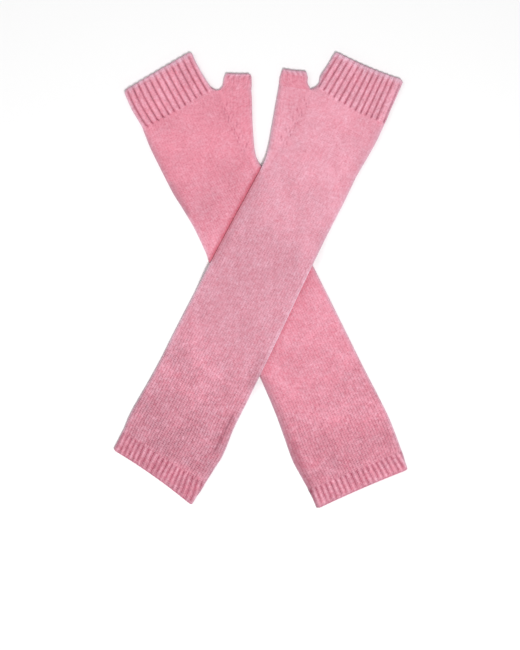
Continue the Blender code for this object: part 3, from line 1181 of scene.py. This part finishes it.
CUFF_RIB = Rib(rise=0.6, depth=1.1, sharp=3.0, dark=0.8, wales=3)
HEM_RIB = Rib(rise=0.4, depth=0.7, sharp=3.8, dark=0.85, wales=2)
RIB_FADE = 2.6
RIB_UNEVEN = 0.12
RIB_WANDER = Wander(6, 4, 11)
GROOVE_SHARP = 4.5
END_DOT = Fade(0.35, math.sqrt(8))
# Painted highlight: the ridges are drawn paler and brighter.
RIDGE_LIGHT = 0.06
RIDGE_LEVEL = 0.4


def ribbed(grooves, rib, cloth, v, share, inside):
    """The rib's relief, with painted shade in its grooves and a painted highlight on its ridges.

    inside is the distance from the line where the grooves fade out, into the rib.
    """
    number = rib_number(grooves, v, share)
    strength = smooth_step(inside / RIB_FADE)
    uneven = 1 + RIB_UNEVEN * wandering(cloth, RIB_WANDER)
    from_groove = 2 * np.abs(number - np.rint(number))
    valley = (1 - from_groove) ** rib.sharp
    fall = (rib.rise + rib.depth) * valley * strength * uneven
    # The groove's painted shade, a little stronger where the groove ends.
    groove = (1 - from_groove) ** GROOVE_SHARP * strength
    end_dot = 1 + faded(END_DOT, inside - RIB_FADE)
    dark = np.clip(rib.dark * groove * end_dot * uneven, 0, 1)
    light = from_groove**2 * strength
    return Ribs(rib.rise * strength - fall, -fall, dark, light, rib.wales * number - 0.5)


def ribbed_knit(glove, cloth, ribs, along):
    """The knitting of a piece that is ribbed all over, with a painted highlight on its ridges."""
    shade, pale, crisp = toned(glove, cloth, along)
    shade = shade * (1 + RIDGE_LIGHT * (ribs.light - RIDGE_LEVEL))
    pale = pale + RIDGE_LIGHT * ribs.light
    return Knit(ribs.top, ribs.under, ribs.wale, cloth.u / COURSE, ribs.dark, shade, pale, crisp)


def fade_line(grooves, v):
    """The u where a rib's grooves fade into the plain knit, at a distance across."""
    return np.interp(v, [row.fade_v for row in grooves], [row.fade_u for row in grooves])


def arm_tube(glove):
    start, end = HEM_HEIGHT + SEAM_GAP / 2, glove.notch[0]

    def lines(share):
        return arm_line(glove, start + (end - start) * share)

    rows = tube_rows(ARM_ROWS, True, True)
    cloth = tube_cloth(f"{glove.name}_arm_tube_knit", lines, ARM_UPPER, ARM_LOWER, rows)
    along = start + (end - start) * cloth.rows.share
    wale, beyond = arm_wales(glove, along, cloth)
    wale = wale + WALE_SWAY * wandering(cloth, WALE_WANDER)
    shade, pale, crisp = toned(glove, cloth, cloth.u)
    bright, red_shade, fold_nap_and_sheen, swell = crossing_looks(glove, cloth)
    top, under = wale_relief(wale, crisp)
    marks = increase_marks(along, beyond)
    crisp = crisp * (1 - faded(JOIN_BLUR, beyond) * (along > GUSSET_START))
    pressed = stroked(glove.creases, cloth.u, cloth.v)
    softness = SOFTNESS * wandering(cloth, SOFT_WANDER)
    v = unrolled(cloth)
    past_cuff_fade = cloth.u - fade_line(glove.cuff_grooves, v)
    past_hem_fade = fade_line(glove.hem_grooves, v) - cloth.u
    cuff = ribbed(glove.cuff_grooves, CUFF_RIB, cloth, v, 1.0, past_cuff_fade)
    hem = ribbed(glove.hem_grooves, HEM_RIB, cloth, v, 1.0, past_hem_fade)
    on_hand = beyond < 0
    # Painted shade in the increase dips, the creases and the rib grooves.
    dark = INCREASE_DARK * marks + CREASE_SHADE * pressed**2 + hem.dark + cuff.dark * on_hand
    top = top + softness + swell - INCREASE_DIP * marks - pressed
    knit = Knit(
        top + hem.top + cuff.top * on_hand,
        under + hem.under + cuff.under * on_hand,
        wale,
        cloth.u / COURSE,
        np.clip(dark, 0, 1),
        shade * bright,
        pale,
        crisp,
        red_shade,
        fold_nap_and_sheen,
    )
    piece = knit_piece(glove, cloth, knit, "arm_tube", PLAIN_KNIT)
    state_cut(lines)


for glove in GLOVES:
    arm_tube(glove)


# The arm hems: a short welt of narrow rib, two wales to a ridge, knitted on at the upper arm,
# where it draws the edge in a little. Its rim rolls in to a short lip.
HEM_UPPER = 190
HEM_LOWER = 95
HEM_ROWS = 20
# Pale nap and painted sheen along the hem's rim.
HEM_NAP_AND_SHEEN = Fade(0.1, 2.0, NAP_AND_SHEEN_POWER)
HEM_RIM = Rim(share=0, length=HEM_HEIGHT, corner=0.9, peek=0.0, nap_and_sheen=HEM_NAP_AND_SHEEN, line=0.4)
RIB_KNIT = knit_material("rib_knit")


def arm_hem(glove):
    def lines(share):
        along = (HEM_HEIGHT - SEAM_GAP / 2) * np.asarray(share)
        outer, thumb = side_folds(glove, along)
        first, last = (np.stack((slanted(glove, along, v), v)) for v in (outer, thumb))
        return Line(first, (first + last) / 2, last, glove.hem_bow * (1 - along / HEM_HEIGHT))

    rows = tube_rows(HEM_ROWS, False, True)
    cloth = tube_cloth(f"{glove.name}_arm_hem_rib", lines, HEM_UPPER, HEM_LOWER, rows)
    v = unrolled(cloth)
    fade = fade_line(glove.hem_grooves, v)
    share = smooth_step(cloth.u / fade)
    ribs = ribbed(glove.hem_grooves, HEM_RIB, cloth, v, share, fade - cloth.u)
    knit = ribbed_knit(glove, cloth, ribs, cloth.u)
    piece = knit_piece(glove, cloth, knit, "arm_hem", RIB_KNIT, HEM_RIM)
    state_cut(lines)


for glove in GLOVES:
    arm_hem(glove)


# The hand cuffs: a deep band of wide rib round the knuckles, three wales to a ridge, with narrow
# grooves that stop short where the plain knit begins. The back layer shows past the rim.
CUFF_UPPER = 180
CUFF_LOWER = 90
CUFF_ROWS = 44
REAR_PEEK = 0.8
NOTCH_JOIN = 1.0
CUFF_HEIGHT = 46.0
# Pale nap and painted sheen along the cuff's rim.
CUFF_NAP_AND_SHEEN = Fade(0.34, 2.3, NAP_AND_SHEEN_POWER)
CUFF_RIM = Rim(share=1, length=CUFF_HEIGHT, corner=1.8, peek=REAR_PEEK, nap_and_sheen=CUFF_NAP_AND_SHEEN, line=0.22)


def span_lines(rows):
    """Lines across a piece, on a smooth curve through its rows."""
    places = np.arange(len(rows))

    def lines(share):
        at = places[-1] * np.asarray(share)
        outer_u, outer_v, thumb_u, thumb_v, bow = (eased(places, column, at) for column in zip(*rows))
        outer, thumb = np.stack((outer_u, outer_v)), np.stack((thumb_u, thumb_v))
        return Line(outer, (outer + thumb) / 2, thumb, bow)

    return lines


def mouth_corners(glove):
    """The arm tube's last line: its outer end, the notch, and the thumb's end."""
    line = arm_line(glove, np.array(glove.notch[0]))
    return line.outer, line.middle, line.thumb


def past_notch(start, notch):
    """A point a little past the notch, so that the cuff and the thumb close the knit there."""
    run = notch - start
    return notch + run / np.hypot(*run) * NOTCH_JOIN


def hand_cuff(glove):
    outer, notch, _ = mouth_corners(glove)
    lines = span_lines((Span(*outer, *past_notch(outer, notch)), *glove.cuff))
    rows = tube_rows(CUFF_ROWS, True, False)
    cloth = tube_cloth(f"{glove.name}_hand_cuff_rib", lines, CUFF_UPPER, CUFF_LOWER, rows)
    v = unrolled(cloth)
    fade = fade_line(glove.cuff_grooves, v)
    rim = glove.cuff[-1].outer_u
    share = np.clip((rim - cloth.u) / (rim - fade), 0, 1)
    ribs = ribbed(glove.cuff_grooves, CUFF_RIB, cloth, v, share, cloth.u - fade)
    knit = ribbed_knit(glove, cloth, ribs, cloth.u)
    piece = knit_piece(glove, cloth, knit, "hand_cuff", RIB_KNIT, CUFF_RIM)
    state_cut(lines)


for glove in GLOVES:
    hand_cuff(glove)


# The thumb tubes: a short round of plain knit, picked up from the gusset at the notch. The
# edge's grooves carry on a little way down it.
THUMB_UPPER = 60
THUMB_LOWER = 36
THUMB_ROWS = 20
THUMB_WALE = 2.4
EDGE_RIDGE = 5.4
EDGE_GROOVE = 0.45
EDGE_GROOVE_DARK = 0.45


def thumb_tube(glove):
    _, notch, thumb = mouth_corners(glove)
    lines = span_lines((Span(*past_notch(thumb, notch), *thumb), *glove.thumb))
    rows = tube_rows(THUMB_ROWS, True, True)
    cloth = tube_cloth(f"{glove.name}_thumb_tube_knit", lines, THUMB_UPPER, THUMB_LOWER, rows)
    wale = cloth.path / THUMB_WALE
    number = cloth.path / EDGE_RIDGE
    from_groove = 2 * np.abs(number - np.rint(number))
    near_edge = 1 - smooth_step((1 - cloth.rows.share) / EDGE_GROOVE)
    # Painted shade in the edge's grooves, where they run on down the thumb.
    dark = EDGE_GROOVE_DARK * near_edge * (1 - from_groove) ** GROOVE_SHARP
    shade, _, crisp = toned(glove, cloth, glove.notch[0])
    top, under = wale_relief(wale, crisp)
    knit = Knit(top, under, wale, cloth.u / COURSE, dark, shade, glove.thumb_pale, crisp)
    piece = knit_piece(glove, cloth, knit, "thumb_tube", PLAIN_KNIT)
    state_cut(lines)


for glove in GLOVES:
    thumb_tube(glove)


# The thumb edges: a narrow band of rib, two wales to a ridge, knitted on to end the thumb. It
# has a few short grooves, and its back layer shows past the rim.
EDGE_UPPER = 60
EDGE_LOWER = 36
EDGE_ROWS = 8
EDGE_HEIGHT = 4.5
EDGE_OVERLAP = 0.6
# Pale nap and painted sheen along the thumb edge's rim.
EDGE_NAP_AND_SHEEN = Fade(0.34, 1.8, NAP_AND_SHEEN_POWER)
EDGE_RIM = Rim(share=1, length=EDGE_HEIGHT, corner=1.2, peek=REAR_PEEK, nap_and_sheen=EDGE_NAP_AND_SHEEN, line=0.3)
EDGE_RIB = Rib(rise=0.3, depth=0.7, sharp=2.6, dark=0.5, wales=2)
EDGE_GROOVES = (Groove(0, 0.0, 0.0, 0.0), Groove(1, 1.0, 0.0, 1.0))


def thumb_edge(glove):
    lines = span_lines((glove.thumb[-1], *glove.edge))
    rows = tube_rows(EDGE_ROWS, True, False)
    cloth = tube_cloth(f"{glove.name}_thumb_edge_rib", lines, EDGE_UPPER, EDGE_LOWER, rows)
    number = cloth.path / EDGE_RIDGE
    inside = cloth.rows.share * EDGE_HEIGHT + EDGE_OVERLAP
    ribs = ribbed(EDGE_GROOVES, EDGE_RIB, cloth, number, 1.0, inside)
    knit = ribbed_knit(glove, cloth, ribs, glove.notch[0])
    piece = knit_piece(glove, cloth, knit, "thumb_edge", RIB_KNIT, EDGE_RIM)
    state_cut(lines)


for glove in GLOVES:
    thumb_edge(glove)
